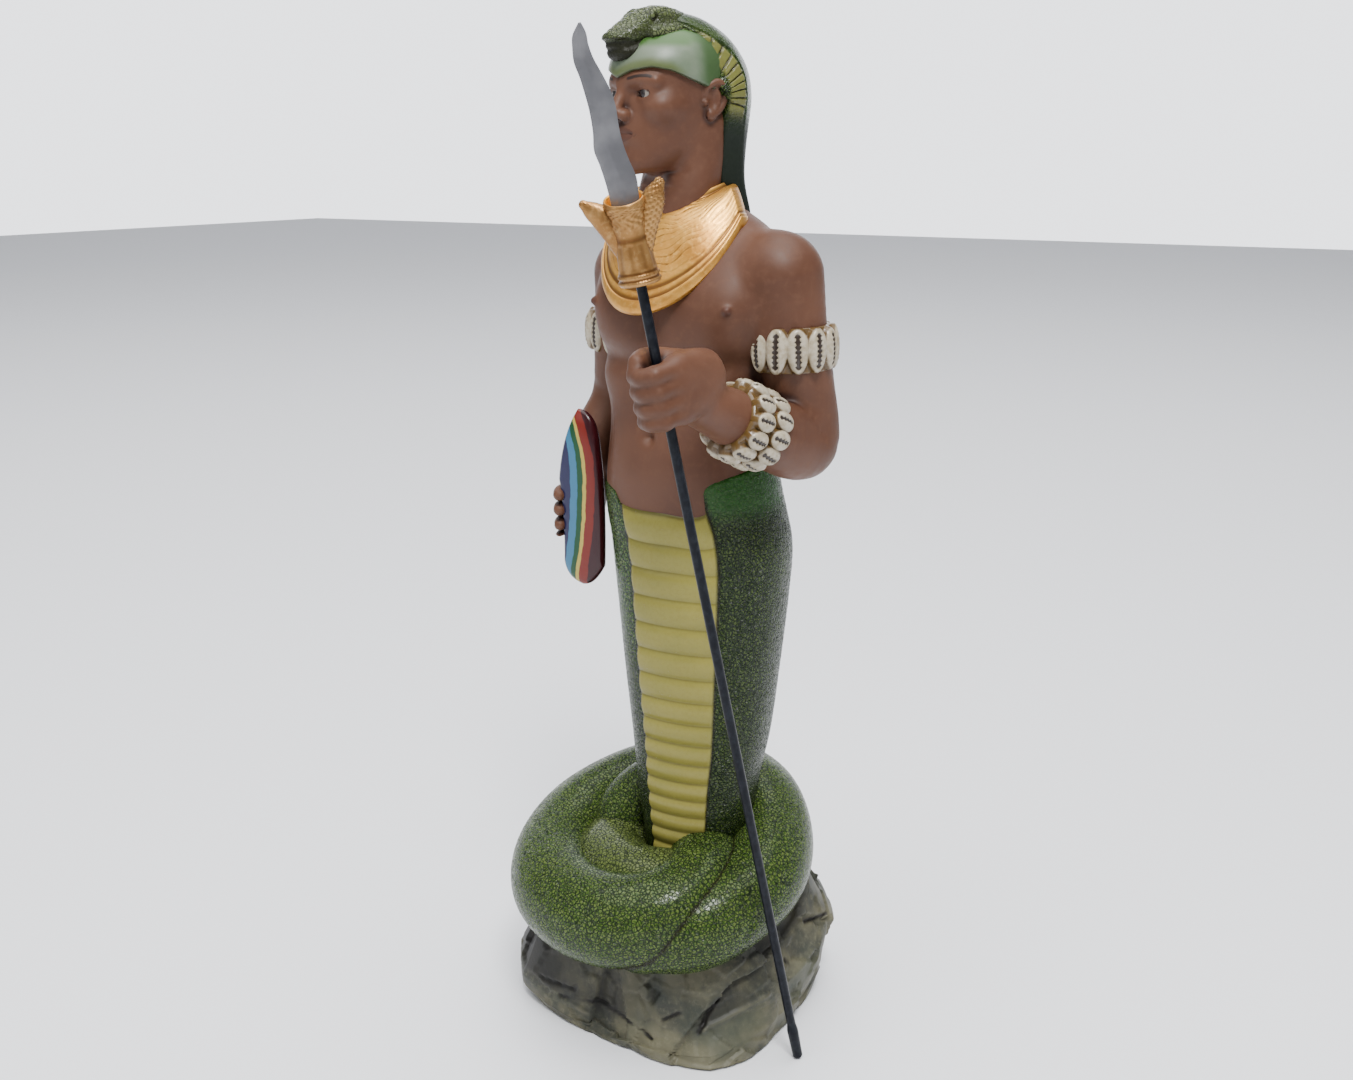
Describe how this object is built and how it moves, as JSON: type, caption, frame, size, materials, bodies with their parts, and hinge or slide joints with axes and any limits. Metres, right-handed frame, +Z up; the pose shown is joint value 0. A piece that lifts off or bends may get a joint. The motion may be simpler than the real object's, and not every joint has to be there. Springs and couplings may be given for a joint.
{
  "type": "santeria deity statue",
  "caption": "Painted cast figure: a man's torso rising from a coiled green serpent on a rock base, with a loose spear in the left fist and a rainbow emblem at the hip.",
  "frame": {"origin": "on the surface that the statue stands on, under the middle of the rock's flat underside", "axes": "+Z up, the figure faces -Y, its left hand is at +X"},
  "size_m": [0.1033, 0.1174, 0.2984],
  "materials": {
    "painted_resin": "hand-painted cast resin, satin varnish: brown skin, green scaled serpent with straw-yellow belly plates, gold collar, off-white cowries, grey-brown rock",
    "black_wire": "satin black with a blue tinge",
    "gold_fitting": "gold-painted casting, darker in the grooves",
    "silver_blade": "dull silver"
  },
  "bodies": {
    "root": {"statue": "painted_resin", "spear_shaft": "black_wire", "spear_socket": "gold_fitting", "spear_blade": "silver_blade"}
  },
  "joints": []
}
